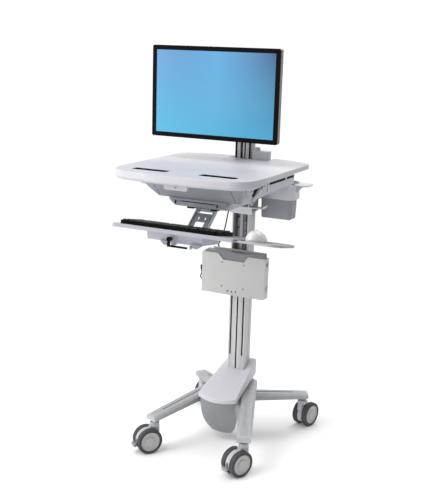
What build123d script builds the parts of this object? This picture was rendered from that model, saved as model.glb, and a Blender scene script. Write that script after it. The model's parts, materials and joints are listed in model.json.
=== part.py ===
from build123d import *
import os
from math import atan2, cos, degrees, hypot, pi, radians, sin, tan

# Point-of-care cart: four-legged wheeled base, lifting head with worktop, display on an arm,
# keyboard tray with mouse shelf, computer holder and side bin.
# Millimetres, +Z up, front faces -Y, the user's right is +X.
# Everything is drawn about the column's axis and shifted at the end, so that the origin is at the
# middle of the whole cart's bounding box, on the floor.

# ---------------------------------------------------------------- driving dimensions
FRONT_CASTER = (190.0, -350.0)      # caster stem, half spacing and y
REAR_CASTER = (232.0, 145.0)
HEADINGS = {"front_left": 233.0, "front_right": 244.0, "rear_left": 75.0, "rear_right": 75.0}

WHEEL_R = 50.0
HUB_R = 38.0
WHEEL_W = 22.0                      # width of one tyre
WHEEL_GAP = 23.0                    # gap between the twin tyres
TRAIL = 29.5                        # axle behind the stem
AXLE_R = 5.0
RUN_GAP = 0.06                      # radial clearance of turning pins
FORK_W = 20.0
FORK_TOP = 119.5
STEM_R = 6.0
STEM_RING = (119.8, 126.4)          # low and high z of the black ring under the leg
STEM_TOP = 138.0

LEG_TIP_TOP = 150.0                 # top of a leg over the caster
LEG_TIP_SIZE = (54.0, 20.0)
LEG_ROOT_SIZE = (70.0, 30.0)
LEG_CHAMFER = (0.34, 0.5)           # of half the width and half the height
LEG_GROOVE = (9.0, 6.0)             # width at the root and at the tip
LEG_GROOVE_DEEP = 2.5
LEG_GROOVE_ENDS = (60.0, 40.0)
LEG_OVERHANG = 20.0                 # leg past the stem
FRONT_LEG_ROOT = (45.0, 10.0)
FRONT_LEG_RISE = 68.0
REAR_LEG_ROOT = (0.0, 0.0)
REAR_LEG_RISE = 8.0

HUB_SIZE = (100.0, 104.0)
HUB_Z = (118.0, 206.0)

COVER_FRONT_HALF = 83.0
COVER_REAR_HALF = 59.0
COVER_FRONT_Y = -191.0
COVER_BULGE = 25.0
COVER_REAR_Y = 50.0
COVER_FRONT_Z = 208.0
COVER_SLOPE = 0.375
SKIRT_FRONT_Z = 190.0
SKIRT_SLOPE = 0.187
COVER_WALL = 3.5

TUB_TOP_HALF = 78.0
TUB_LOW_Z = 37.0
TUB_MID_Z = 198.0

COLUMN_W = 76.0
COLUMN_D = 60.0
COLUMN_SIDE_WALL = 7.0
COLUMN_FRONT_WALL = 9.0
COLUMN_REAR_WALL = 6.0
COLUMN_Z = (124.0, 915.0)
COLUMN_OPEN_Z = 745.0               # the front is open above this height
SLOT_X = 26.0
SLOT_W = 6.0
SLOT_DEEP = 6.0
SLOT_END_Z = 325.0

RISER_SIZE = (60.0, 40.0)
RISER_Z = (520.0, 1017.4)
COLLAR_Z = (917.0, 984.0)

TOP_Z = 1125.0                      # worktop surface
TOP_HALF = 272.0
TOP_RIM = 17.0
TOP_FRONT_DEEP = 32.0
TOP_FRONT_Y = -598.0
TOP_REAR_Y = 47.0
APRON_DEEP_END = -528.0             # behind this the front edge starts to thin
APRON_END = -420.0                  # where the deep front edge has run out along the sides
GRIP_X = (62.0, 198.0)
GRIP_Y = (-524.0, -485.0)
GRIP_CORNER = 8.5
LINER_WALL = 2.0
NOTCH = (-58.0, 104.0, -31.0)       # left, right and front of the cut for the post and side block

CASE_TOP_HALF = 203.0
CASE_LOW_HALF = 165.0
CASE_TOP_Y = (-465.0, -34.0)
CASE_LOW_Y = (-400.0, -34.0)
CASE_Z = (1018.0, 1080.0, 1118.7)
CASE_WALL = 3.0
CASE_CORNER = 14.0
PANEL_THICK = 4.0
PANEL_Z = (1044.0, 1092.0)
PANEL_SLOTS = ((-250.0, -98.0), (-86.0, -14.0))
PANEL_SLOT_Z = (1069.5, 1078.5)
BOSSES = ((-306.0, 17.0), (-420.0, 15.0))   # y and radius
BOSS_Z = 1074.0
BOSS_PROUD = 11.0
BOSS_HOLE_R = 4.0
SUBCASE_TOP_HALF = 120.0
SUBCASE_LOW_HALF = 109.0
SUBCASE_Y = (-402.0, -130.0)
SUBCASE_Z = (986.0, 1017.5)

POST_SIZE = (70.0, 40.0)
POST_Y = -30.0                      # front face of the display post
POST_Z = (1017.7, 1485.0)
SIDE_BLOCK_LOW = 1024.2

DISPLAY_W = 509.0
DISPLAY_H = 333.0
DISPLAY_X = -40.0
DISPLAY_FRONT_Y = -218.0
DISPLAY_LOW_Z = 1208.5
BEZEL = 16.5
DISPLAY_EDGE = 26.0                 # depth of the display's flat edge
DISPLAY_CORNER = 7.0
SCREEN_INSET = 2.2
VESA = 100.0

CARRIAGE_Z = (1330.0, 1400.0)
LINK_FOOT = (0.0, -62.0)            # vertical pivots of the short display link
LINK_HEAD = (-40.0, -112.0)
TILT_Y = LINK_HEAD[1] - 36.0
TILT_Z = CARRIAGE_Z[1] - 5.0
PLATE_Y = DISPLAY_FRONT_Y + 48.0    # rear face of the display, where the mounting plate lies

TRAY_TILT = -11.0                   # front edge higher than the rear
TRAY_HALF = 236.0
TRAY_FRONT = (-590.0, 943.0)        # y and z of the tray's front top edge
TRAY_DEEP = 196.0
TRAY_THICK = 13.0
PAN_DEEP = 27.0                     # bracket under the tray
KEYBOARD_X = (-212.0, 158.0)
KEYBOARD_DEEP = 140.0
KEYBOARD_BASE = 13.0
KEY_HEIGHT = 4.2
MOUSE_SHELF_END = 386.0

TRACK_Y = (-366.0, -150.0)
ARM_HINGE = (-328.0, 966.0)         # y and z of the keyboard arm's upper pin
KNOB_X = -12.0
KNOB_Z = -31.0                      # below the tray's top face
TRAY_HINGE = (-500.0, 881.0)        # y and z of the tray's tilt pin
ARM_ELBOW = (-434.0, 884.0)
ARM_HALF = 38.0

HOLDER_HALF = 135.0
HOLDER_Z = (590.0, 753.0)
HOLDER_FRONT_Y = -86.0
HOLDER_DEEP = 38.0

BIN_X = (56.0, 190.0)
BIN_Y = (20.0, 92.0)
BIN_Z = (892.0, 1024.0)
BIN_CORNER = 14.0
HOLDER_RING_Z = (972.0, 1034.0)

nodes = {}


# ---------------------------------------------------------------- helpers
def block(x0, x1, y0, y1, z0, z1):
    return Pos((x0 + x1) / 2, (y0 + y1) / 2, (z0 + z1) / 2) * Box(x1 - x0, y1 - y0, z1 - z0)


def side_prism(points, x0, x1):
    """Extrude an outline given as (y, z) points from x0 to x1."""
    plane = Plane(origin=(x0, 0, 0), x_dir=(0, 1, 0), z_dir=(1, 0, 0))
    return extrude(plane * Polygon(*points, align=None), x1 - x0, dir=(1, 0, 0))


def pin_x(radius, x0, x1, y, z):
    return Pos((x0 + x1) / 2, y, z) * Rot(0, 90, 0) * Cylinder(radius, x1 - x0)


def pin_y(radius, y0, y1, x, z):
    return Pos(x, (y0 + y1) / 2, z) * Rot(90, 0, 0) * Cylinder(radius, y1 - y0)


def pin_z(radius, z0, z1, x, y):
    return Pos(x, y, (z0 + z1) / 2) * Cylinder(radius, z1 - z0)


def under_plane(z_front, slope):
    """Everything below the plane z = z_front + slope * (y - COVER_FRONT_Y)."""
    y0, y1 = COVER_FRONT_Y - 100, COVER_REAR_Y + 100
    z0, z1 = z_front - 100 * slope, z_front + (y1 - COVER_FRONT_Y) * slope
    return side_prism([(y0, 0), (y1, 0), (y1, z1), (y0, z0)], -200, 200)


def mirrored(solid):
    return mirror(solid, Plane.YZ)


def shape_of(parts):
    """One node made of several separate solids."""
    return Compound([solid for part in parts for solid in part.solids()])


# ---------------------------------------------------------------- casters
def caster_place(name):
    side = 1 if name.endswith("right") else -1
    x, y = FRONT_CASTER if name.startswith("front") else REAR_CASTER
    return Pos(side * x, y, 0) * Rot(0, 0, HEADINGS[name])


PEDAL_PIN = (58.0, 40.0)            # along the heading, and height


def caster_fork(braked):
    """Fin between the tyres with the round stem housing, trailing along +X."""
    fin = Pos(TRAIL, 0, WHEEL_R) * Rot(90, 0, 0) * Cylinder(46.0, FORK_W)
    fin -= block(-60, 120, -30, 30, 0, 24)
    fin += block(-17, 22, -FORK_W / 2, FORK_W / 2, 72, 104)
    body = fin + pin_z(19.0, 101, FORK_TOP, 0, 0)
    body = fillet(body.edges().filter_by(GeomType.CIRCLE).group_by(Axis.Z)[-1], 4.0)
    body -= pin_z(STEM_R + RUN_GAP, 99, FORK_TOP + 1, 0, 0)
    body -= pin_y(AXLE_R + RUN_GAP, -30, 30, TRAIL, WHEEL_R)
    if braked:
        body -= block(PEDAL_PIN[0] - 11, 90, -5, 5, 20, 58)
        body -= pin_y(2.5 + RUN_GAP, -30, 30, *PEDAL_PIN)
    return body


def tyre_ring():
    ring = Cylinder(WHEEL_R, WHEEL_W) - Cylinder(HUB_R, WHEEL_W + 2)
    crown = ring.edges().filter_by(GeomType.CIRCLE).sort_by(SortBy.RADIUS)[-2:]
    return Rot(90, 0, 0) * fillet(crown, 5.0)


def hub_disc():
    """Dished hub; its outer face looks along -Y."""
    disc = Cylinder(HUB_R, WHEEL_W - 2) - Pos(0, 0, 10) * Cylinder(HUB_R - 5, 4)
    disc += Pos(0, 0, 7) * Cylinder(17, 5)
    disc -= Cylinder(AXLE_R, WHEEL_W * 2)
    return Rot(90, 0, 0) * disc


def brake_pedal():
    y_half = 4.7
    arm = block(PEDAL_PIN[0] - 6, 82, -y_half, y_half, 35, 44)
    paddle = fillet(block(81, 92, -15, 15, 31, 43).edges().filter_by(Axis.Z), 4.0)
    pin = pin_y(2.5, -FORK_W / 2 + 0.2, FORK_W / 2 - 0.2, *PEDAL_PIN)
    return arm + paddle + pin


def build_casters():
    stems = []
    offset = (WHEEL_GAP + WHEEL_W) / 2
    for name in HEADINGS:
        place = caster_place(name)
        braked = name.startswith("front")
        tyres = [Pos(TRAIL, side * offset, WHEEL_R) * tyre_ring() for side in (-1, 1)]
        hubs = [Pos(TRAIL, -offset, WHEEL_R) * hub_disc(),
                Pos(TRAIL, offset, WHEEL_R) * Rot(0, 0, 180) * hub_disc(),
                pin_y(AXLE_R, -offset - 8, offset + 8, TRAIL, WHEEL_R)]
        nodes[name + "_caster_fork"] = place * caster_fork(braked)
        nodes[name + "_caster_tyres"] = shape_of(place * t for t in tyres)
        nodes[name + "_caster_hubs"] = shape_of(place * h for h in hubs)
        if braked:
            nodes[name + "_brake_pedal"] = place * brake_pedal()
        stem = pin_z(STEM_R, 101, STEM_TOP, 0, 0) + pin_z(14.0, *STEM_RING, 0, 0)
        stems.append(place * stem)
    nodes["caster_stems"] = shape_of(stems)


# ---------------------------------------------------------------- base
def leg(root, tip, rise):
    """Tapered leg from a root point to past the caster stem, its top falling outwards."""
    run = hypot(tip[0] - root[0], tip[1] - root[1])
    ux, uy = (tip[0] - root[0]) / run, (tip[1] - root[1]) / run

    def section(along, size, top):
        plane = Plane(origin=(root[0] + ux * along, root[1] + uy * along, top - size[1] / 2),
                      x_dir=(-uy, ux, 0), z_dir=(ux, uy, 0))
        half_w, half_h = size[0] / 2, size[1] / 2
        shoulder_x, shoulder_z = half_w * (1 - LEG_CHAMFER[0]), half_h * (1 - LEG_CHAMFER[1])
        outline = [(-half_w, -half_h), (half_w, -half_h), (half_w, shoulder_z), (shoulder_x, half_h),
                   (-shoulder_x, half_h), (-half_w, shoulder_z)]
        return plane * Polygon(*outline, align=None)

    def slot_section(along, width, top):
        plane = Plane(origin=(root[0] + ux * along, root[1] + uy * along, top), x_dir=(-uy, ux, 0),
                      z_dir=(ux, uy, 0))
        return plane * Rectangle(width, LEG_GROOVE_DEEP * 2)

    reach = run + LEG_OVERHANG
    tip_top = LEG_TIP_TOP - rise * LEG_OVERHANG / run
    body = loft([section(0, LEG_ROOT_SIZE, LEG_TIP_TOP + rise), section(reach, LEG_TIP_SIZE, tip_top)])
    start, end = LEG_GROOVE_ENDS
    groove = loft([slot_section(start, LEG_GROOVE[0], LEG_TIP_TOP + rise * (1 - start / run)),
                   slot_section(run - end, LEG_GROOVE[1], LEG_TIP_TOP + rise * end / run)])
    return body - groove


def build_base():
    hub = fillet(block(-HUB_SIZE[0] / 2, HUB_SIZE[0] / 2, -HUB_SIZE[1] / 2 + 6, HUB_SIZE[1] / 2 + 6,
                       *HUB_Z).edges().filter_by(Axis.Z), 16.0)
    column_fill = block(-COLUMN_W / 2 - 0.1, COLUMN_W / 2 + 0.1, -COLUMN_D / 2 - 0.1, COLUMN_D / 2 + 0.1,
                        COLUMN_Z[0], 400)
    front = leg(FRONT_LEG_ROOT, FRONT_CASTER, FRONT_LEG_RISE) - hub
    rear = leg(REAR_LEG_ROOT, REAR_CASTER, REAR_LEG_RISE) - hub - front
    front -= pin_z(STEM_R + 0.05, 100, STEM_TOP + 0.5, *FRONT_CASTER) + column_fill
    rear -= pin_z(STEM_R + 0.05, 100, STEM_TOP + 0.5, *REAR_CASTER) + column_fill
    front = front.solids().sort_by(SortBy.VOLUME)[-1]
    rear = rear.solids().sort_by(SortBy.VOLUME)[-1]
    nodes["base_hub"] = hub - column_fill
    nodes["front_right_leg"] = front
    nodes["front_left_leg"] = mirrored(front)
    nodes["rear_right_leg"] = rear
    nodes["rear_left_leg"] = mirrored(rear)


def cover_outline(inset):
    half_f, half_r = COVER_FRONT_HALF - inset, COVER_REAR_HALF - inset
    y_f, y_r = COVER_FRONT_Y + inset, COVER_REAR_Y - inset
    sides = Polyline((half_f, y_f), (half_r, y_r), (-half_r, y_r), (-half_f, y_f))
    front = ThreePointArc((-half_f, y_f), (0, y_f - COVER_BULGE), (half_f, y_f))
    return make_face([sides, front])


def build_cover_and_tub():
    outer = extrude(cover_outline(0), 400) & under_plane(COVER_FRONT_Z, COVER_SLOPE)
    outer = fillet(outer.edges().filter_by(GeomType.LINE).group_by(Axis.Z)[-1], 6.0)
    rim = [e for e in outer.edges() if e.center().Z > 195 and abs(e.tangent_at(0.5).Z) < 0.5]
    outer = fillet(rim, 5.0)
    outer -= under_plane(SKIRT_FRONT_Z, SKIRT_SLOPE)
    inner = extrude(cover_outline(COVER_WALL), 400) & under_plane(COVER_FRONT_Z - 4.5, COVER_SLOPE)
    hole = block(-COLUMN_W / 2 - 0.6, COLUMN_W / 2 + 0.6, -COLUMN_D / 2 - 0.6, COLUMN_D / 2 + 0.6, 100, 400)
    nodes["base_cover"] = outer - inner - hole

    def tub_face(z, half, front_y, bulge, rear_half, inset=0.0):
        half, rear_half = half - inset, rear_half - inset
        y_f, y_r = front_y + inset, -50.0 - inset
        sides = Polyline((half, y_f), (rear_half, y_r), (-rear_half, y_r), (-half, y_f))
        arc = ThreePointArc((-half, y_f), (0, y_f - bulge), (half, y_f))
        return Pos(0, 0, z) * make_face([sides, arc])

    def tub_body(inset):
        rows = [(TUB_LOW_Z + inset, 40, -143, 10, 24),
                (TUB_LOW_Z + 23, 60, -152, 14, 28),
                (TUB_MID_Z - 70, TUB_TOP_HALF - 2, -176, 19, 30),
                (TUB_MID_Z - 6, TUB_TOP_HALF, -188, 21, 30)]
        faces = [tub_face(z, half, y, bulge, rear, inset) for z, half, y, bulge, rear in rows]
        top = Pos(0, 0, rows[-1][0]) * extrude(Pos(0, 0, -rows[-1][0]) * faces[-1], 80)
        return loft(faces) + top

    shell = tub_body(0)
    shell = fillet(shell.edges().group_by(Axis.Z)[0], 5.0)
    shell = shell - tub_body(3.0)
    nodes["base_tub"] = shell & under_plane(COVER_FRONT_Z - 4.8, COVER_SLOPE)


def build_column():
    w, d = COLUMN_W, COLUMN_D
    outer = Pos(0, 0, COLUMN_Z[0]) * extrude(RectangleRounded(w, d, 5.0), COLUMN_Z[1] - COLUMN_Z[0])
    x_in = w / 2 - COLUMN_SIDE_WALL
    y_rear = d / 2 - COLUMN_REAR_WALL
    y_front = -d / 2 + COLUMN_FRONT_WALL
    body = outer - block(-x_in, x_in, y_front, y_rear, COLUMN_Z[0] - 1, COLUMN_Z[1] + 1)
    body -= block(-x_in, x_in, -d / 2 - 1, y_front + 1, COLUMN_OPEN_Z, COLUMN_Z[1] + 1)
    for x in (-SLOT_X, 0.0, SLOT_X):
        z0 = COLUMN_Z[0] - 1 if x == 0 else SLOT_END_Z
        body -= block(x - SLOT_W / 2, x + SLOT_W / 2, -d / 2 - 1, -d / 2 + SLOT_DEEP, z0, COLUMN_OPEN_Z + 1)
    for side in (-1, 1):
        groove = block(side * w / 2 - 1.2, side * w / 2 + 1.2, -6, 6, COLUMN_Z[0] - 1, COLUMN_Z[1] + 1)
        body -= groove
    nodes["column"] = body


# ---------------------------------------------------------------- lifting head
def build_riser():
    w, d = RISER_SIZE
    body = block(-w / 2, w / 2, -d / 2, d / 2, *RISER_Z)
    body -= block(-w / 2 + 5, w / 2 - 5, -d / 2 - 1, -d / 2 + 6, RISER_Z[0] - 1, COLLAR_Z[0] - 2)
    body += block(-5, 5, -d / 2 + 2, -d / 2 + 7, RISER_Z[0], COLLAR_Z[0] - 4)
    for z in (800, 850, 892):
        body -= pin_y(3.5, -d / 2, -d / 2 + 20, -15, z)
        body -= pin_y(2.5, -d / 2, -d / 2 + 20, 15, z - 12)
    nodes["riser"] = body
    fill = block(-w / 2 - 0.1, w / 2 + 0.1, -d / 2 - 0.1, d / 2 + 0.1, 900, 1100)
    collar = fillet(block(-46, 46, -50, 38, *COLLAR_Z).edges().filter_by(Axis.Z), 8.0)
    deck = block(-96, 96, -128, 8, COLLAR_Z[1], 1017.5) + block(-46, 46, 0, 38, COLLAR_Z[1], 1017.5)
    deck -= block(-60, 60, -129, -60, 990, 1010)
    nodes["head_bracket"] = collar + deck - fill


def worktop_outline(inset):
    half = TOP_HALF - inset
    y0, y1 = TOP_FRONT_Y + inset, TOP_REAR_Y - inset
    front = ThreePointArc((-half + 10, y0 + 36), (0, y0), (half - 10, y0 + 36))
    right = Line((half - 10, y0 + 36), (half, y0 + 170))
    right_side = Line((half, y0 + 170), (half, y1 - 62))
    rear = ThreePointArc((half, y1 - 62), (0, y1), (-half, y1 - 62))
    left_side = Line((-half, y1 - 62), (-half, y0 + 170))
    left = Line((-half, y0 + 170), (-half + 10, y0 + 36))
    face = make_face([front, right, right_side, rear, left_side, left])
    corners = face.vertices().sort_by(Axis.Y)
    face = fillet(corners[0:2], 84.0 - inset)
    rear_corners = face.vertices().sort_by(Axis.Y)[-2:]
    return fillet(rear_corners, 42.0 - inset)


def build_worktop():
    slab = Pos(0, 0, TOP_Z - TOP_RIM) * extrude(worktop_outline(0), TOP_RIM)
    slab = fillet(slab.edges().group_by(Axis.Z)[-1], 4.0)
    low, rim = TOP_Z - TOP_FRONT_DEEP, TOP_Z - TOP_RIM
    apron = Pos(0, 0, low) * extrude(worktop_outline(0.0), TOP_FRONT_DEEP - TOP_RIM)
    apron = fillet(apron.edges().group_by(Axis.Z)[0], 12.0)
    apron_side = [(-700, low - 1), (APRON_DEEP_END, low - 1), (APRON_END, rim - 0.5), (APRON_END, rim),
                  (-700, rim)]
    apron &= side_prism(apron_side, -400, 400)
    apron -= block(-400, 400, -474, 0, low - 5, rim) & block(-252, 252, -500, 0, low - 5, rim)
    body = slab + apron
    for side in (-1, 1):
        x0, x1 = sorted((side * GRIP_X[0], side * GRIP_X[1]))
        grip = block(x0, x1, *GRIP_Y, 1050, 1140)
        body -= fillet(grip.edges().filter_by(Axis.Z), GRIP_CORNER)
    notch = block(NOTCH[0], NOTCH[1], NOTCH[2], 100, 1050, 1140)
    pocket = Pos(0, 0, TOP_Z - TOP_RIM - 1) * extrude(worktop_outline(16.0), TOP_RIM - 5)
    body -= pocket & block(-400, 400, -469, NOTCH[2] - 3, 1000, 1200)
    body -= notch
    tab = fillet(block(-44, 44, -566, -546, 1074, TOP_Z - TOP_FRONT_DEEP + 1).edges().filter_by(Axis.Y)
                 .group_by(Axis.Z)[0], 6.0)
    body += tab
    body -= pin_y(5.0 + RUN_GAP, -570, -550, 0, 1084)
    nodes["worktop"] = body
    liners = []
    for side in (-1, 1):
        x0, x1 = sorted((side * GRIP_X[0], side * GRIP_X[1]))
        outer = block(x0, x1, *GRIP_Y, TOP_Z - TOP_FRONT_DEEP, TOP_Z - 1)
        outer = fillet(outer.edges().filter_by(Axis.Z), GRIP_CORNER)
        inner = block(x0 + LINER_WALL, x1 - LINER_WALL, GRIP_Y[0] + LINER_WALL, GRIP_Y[1] - LINER_WALL,
                      1050, 1140)
        inner = fillet(inner.edges().filter_by(Axis.Z), GRIP_CORNER - LINER_WALL)
        liners.append(outer - inner)
    nodes["grip_liners"] = shape_of(liners)
    lock = pin_y(5.0, -568.0, -550.3, 0, 1084) - block(-0.9, 0.9, -570, -564, 1080.5, 1087.5)
    nodes["lock_cylinder"] = lock


def tapered_shell(top, low, z_low, z_mid, z_top, wall):
    """Hollow case: top and low are (half width, front y, rear y); open at the top."""
    def face(size, z, inset=0.0):
        half, y0, y1 = size
        width, depth = 2 * (half - inset), y1 - y0 - 2 * inset
        return Pos(0, (y0 + y1) / 2, z) * RectangleRounded(width, depth, CASE_CORNER - inset)

    body = loft([face(low, z_low), face(top, z_mid)]) + extrude(face(top, z_mid), z_top - z_mid)
    hollow = loft([face(low, z_low + wall, wall), face(top, z_mid, wall)])
    return body - hollow - extrude(face(top, z_mid, wall), z_top - z_mid + 1)


def build_cases():
    upper = tapered_shell((CASE_TOP_HALF, *CASE_TOP_Y), (CASE_LOW_HALF, *CASE_LOW_Y), *CASE_Z, CASE_WALL)
    for side in (-1, 1):
        upper -= block(side * 150 - 1.2, side * 150 + 1.2, -470, -395, 1024, 1100)
    nodes["upper_case"] = upper
    lower = tapered_shell((SUBCASE_TOP_HALF, *SUBCASE_Y), (SUBCASE_LOW_HALF, SUBCASE_Y[0] + 22, SUBCASE_Y[1]),
                          SUBCASE_Z[0], SUBCASE_Z[1] - 8, SUBCASE_Z[1], CASE_WALL)
    lower -= block(-70, 70, SUBCASE_Y[0] - 5, SUBCASE_Y[0] + 12, 1005, 1009)
    nodes["lower_case"] = lower
    panels = []
    for side in (-1, 1):
        x0, x1 = sorted((side * CASE_TOP_HALF, side * (CASE_TOP_HALF + PANEL_THICK)))
        panel = fillet(block(x0, x1, -262, -10, *PANEL_Z).edges().filter_by(Axis.X), 6.0)
        panel += block(*sorted((side * 150, side * (CASE_TOP_HALF + 1))), -33, -12, 1050, PANEL_Z[1])
        for y0, y1 in PANEL_SLOTS:
            panel -= fillet(block(x0 - 5, x1 + 5, y0, y1, *PANEL_SLOT_Z).edges().filter_by(Axis.X), 3.0)
        panels.append(panel)
    nodes["side_panels"] = shape_of(panels)
    bosses = []
    for side in (-1, 1):
        for y, radius in BOSSES:
            x0, x1 = sorted((side * CASE_TOP_HALF, side * (CASE_TOP_HALF + BOSS_PROUD)))
            outside = x1 if side > 0 else x0
            boss = pin_x(radius, x0, x1, y, BOSS_Z)
            bosses.append(boss - pin_x(BOSS_HOLE_R, outside - 2, outside + 2, y, BOSS_Z))
    nodes["side_bosses"] = shape_of(bosses)


def build_hook():
    """Folded cable tray round the front right of the head bracket, with an upturned end."""
    plate = block(-30, 100, -66, -50.3, 941, 944) + block(46.3, 100, -66, -30, 941, 944)
    front = side_prism([(-66, 944), (-66, 916), (-63.5, 916), (-63.5, 944)], -30, 62)
    lip = Pos(100, -48, 953) * Rot(90, 0, 0) * (Cylinder(12, 36) - Cylinder(9, 40))
    lip &= block(100, 113, -100, 0, 930, 953)
    wall = block(46.3, 49.3, -66, -30, 941, 975)
    nodes["cable_hook"] = plate + front + lip + wall


# ---------------------------------------------------------------- display and its arm
def build_post():
    w, d = POST_SIZE
    body = Pos(0, POST_Y + d / 2, POST_Z[0]) * extrude(RectangleRounded(w, d, 4.0), POST_Z[1] - POST_Z[0])
    body -= block(-11, 11, POST_Y - 1, POST_Y + 10, POST_Z[0] - 1, POST_Z[1] + 1)
    for side in (-1, 1):
        x0, x1 = sorted((side * 24.0, side * 32.0))
        body -= block(x0, x1, POST_Y - 1, POST_Y + 2, POST_Z[0] - 1, POST_Z[1] + 1)
    rib = block(-3.5, 3.5, POST_Y + 5, POST_Y + 10, *POST_Z)
    body += rib
    cavity = block(-26, 26, POST_Y + 14, POST_Y + d - 4, POST_Z[0] - 1, POST_Z[1] - 6)
    nodes["display_post"] = body - cavity


def build_side_block():
    """Upright box in the worktop's rear notch, at the right of the post, with a round button on top."""
    box = block(36, 102, -28, 9, SIDE_BLOCK_LOW, TOP_Z + 32)
    box = fillet(box.edges().filter_by(Axis.Z), 5.0)
    box = fillet(box.edges().group_by(Axis.Z)[-1], 2.5)
    button = fillet(pin_z(10.0, TOP_Z + 31, TOP_Z + 46, 54, -12).edges().group_by(Axis.Z)[-1], 5.0)
    nodes["side_block"] = box + button


def build_display_arm():
    z0, z1 = CARRIAGE_Z
    w, front = POST_SIZE[0] / 2, POST_Y
    carriage = block(-w - 9, w + 9, front - 12, front + 30, z0, z1)
    carriage = fillet(carriage.edges().filter_by(Axis.Z), 3.0)
    carriage -= block(-w - 0.3, w + 0.3, front - 0.3, front + 40, z0 - 1, z1 + 1)
    lug_y = LINK_FOOT[1]
    for low in (z0 + 6, z1 - 18):
        carriage += block(-12, 12, lug_y, front - 10, low, low + 12) + pin_z(13.0, low, low + 12, *LINK_FOOT)
    carriage -= pin_z(6.0 + RUN_GAP, z0, z1, *LINK_FOOT)
    nodes["arm_carriage"] = carriage
    low, high = z0 + 18.4, z1 - 18.4
    dx, dy = LINK_HEAD[0] - LINK_FOOT[0], LINK_HEAD[1] - LINK_FOOT[1]
    run, turn = hypot(dx, dy), degrees(atan2(dy, dx))
    bar = Pos(*LINK_FOOT, 0) * Rot(0, 0, turn) * block(0, run, -8, 8, low, high)
    link = bar + pin_z(12.5, low, high, *LINK_FOOT) + pin_z(14.0, low, high, *LINK_HEAD)
    link += pin_z(6.0, z0 + 3, z1 - 3, *LINK_FOOT) + pin_z(7.0, high - 2, high + 30, *LINK_HEAD)
    nodes["arm_link"] = link
    hx, hy = LINK_HEAD
    z2 = high + 0.4
    knuckle = pin_z(15.0, z2, z2 + 27, hx, hy) + block(hx - 10, hx + 10, TILT_Y, hy, z2 + 1, z2 + 25)
    knuckle += pin_x(12.0, hx - 10, hx + 10, TILT_Y, TILT_Z)
    knuckle -= pin_z(7.0 + RUN_GAP, z2 - 1, z2 + 31, hx, hy)
    knuckle -= pin_x(4.0 + RUN_GAP, hx - 20, hx + 20, TILT_Y, TILT_Z)
    nodes["swivel_knuckle"] = knuckle


def build_display():
    x, cz = DISPLAY_X, DISPLAY_LOW_Z + DISPLAY_H / 2
    w, h = DISPLAY_W, DISPLAY_H
    plate = block(x - 58, x + 58, PLATE_Y + 0.2, PLATE_Y + 4.2, cz - 58, cz + 58)
    plate = fillet(plate.edges().filter_by(Axis.Y), 8.0)
    for dx in (-VESA / 2, VESA / 2):
        for dz in (-VESA / 2, VESA / 2):
            plate -= pin_y(2.5, PLATE_Y - 1, PLATE_Y + 6, x + dx, cz + dz)
    for side in (-1, 1):
        x0, x1 = sorted((x + side * 10.4, x + side * 16.4))
        ear = block(x0, x1, PLATE_Y + 1, TILT_Y, TILT_Z - 12, TILT_Z + 12)
        plate += ear + pin_x(12.0, x0, x1, TILT_Y, TILT_Z)
    plate += pin_x(4.0, x - 16.4, x + 16.4, TILT_Y, TILT_Z)
    nodes["mounting_plate"] = plate
    y0 = DISPLAY_FRONT_Y
    y_back = y0 + DISPLAY_EDGE
    x0, x1, z0, z1 = x - w / 2, x + w / 2, cz - h / 2, cz + h / 2
    edge = fillet(block(x0, x1, y0 + 6, y_back, z0, z1).edges().filter_by(Axis.Y), DISPLAY_CORNER)
    hump_low = Plane(origin=(x, y_back, cz), x_dir=(1, 0, 0), z_dir=(0, 1, 0))
    hump_high = Plane(origin=(x, PLATE_Y, cz), x_dir=(1, 0, 0), z_dir=(0, 1, 0))
    back = edge + loft([hump_low * RectangleRounded(w * 0.8, h * 0.8, 20),
                        hump_high * RectangleRounded(w * 0.5, h * 0.55, 16)])
    for dx in (-VESA / 2, VESA / 2):
        for dz in (-VESA / 2, VESA / 2):
            back -= pin_y(2.0, PLATE_Y - 12, PLATE_Y + 1, x + dx, cz + dz)
    nodes["display_back"] = back
    frame = fillet(block(x0, x1, y0, y0 + 6, z0, z1).edges().filter_by(Axis.Y), DISPLAY_CORNER)
    window = (x0 + BEZEL, x1 - BEZEL), (z0 + BEZEL, z1 - BEZEL)
    nodes["display_bezel"] = frame - block(*window[0], y0 - 1, y0 + 7, *window[1])
    nodes["display_screen"] = block(*window[0], y0 + SCREEN_INSET, y0 + 6, *window[1])


# ---------------------------------------------------------------- keyboard arm and tray
def tray_place():
    return Pos(0, TRAY_FRONT[0], TRAY_FRONT[1]) * Rot(TRAY_TILT, 0, 0)


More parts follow.
